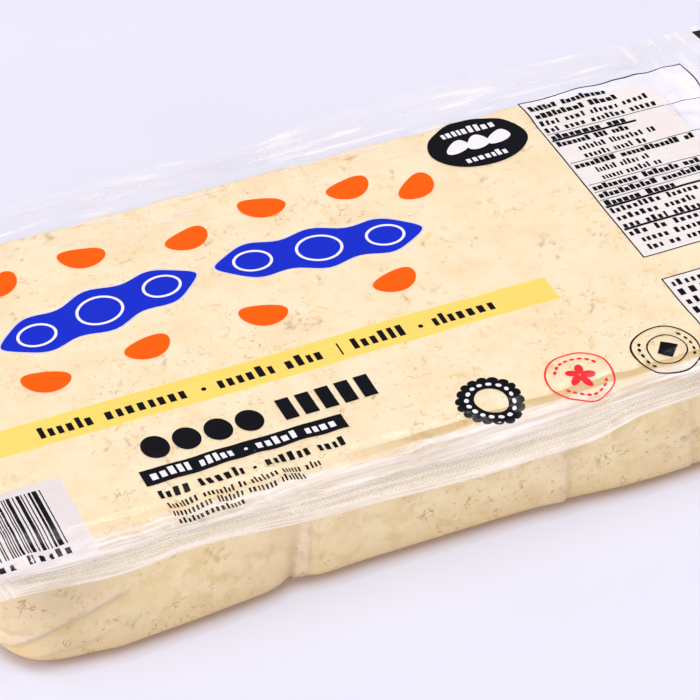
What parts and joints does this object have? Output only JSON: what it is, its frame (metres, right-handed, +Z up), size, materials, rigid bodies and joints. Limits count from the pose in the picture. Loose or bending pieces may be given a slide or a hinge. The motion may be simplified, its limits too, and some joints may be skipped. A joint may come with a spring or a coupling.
{
  "type": "vacuum-packed tofu block",
  "caption": "Flat block of firm tofu vacuum-sealed in a clear formed film, with a printed lid film that runs on past the block as a welded flange.",
  "frame": {"origin": "middle of the resting face's plane, under the middle of the pack", "axes": "+X along the block, +Y across it towards the back, +Z up out of the printed lid"},
  "size_m": [0.3014, 0.1526, 0.0402],
  "materials": {
    "tofu": "firm tofu under a clear, close film: cream, finely pitted, with a wet gloss",
    "film": "clear packaging film, milky and finely knurled where it is welded",
    "print_blue": "royal blue ink on the lid film",
    "print_orange": "orange ink on the lid film",
    "print_yellow": "pale yellow ink on the lid film",
    "print_black": "black ink on the lid film",
    "print_white": "white ink on the lid film, slightly see-through",
    "print_red": "red ink on the lid film"
  },
  "bodies": {
    "root": {"tofu_block": "tofu", "lid_film": "film"}
  },
  "joints": []
}
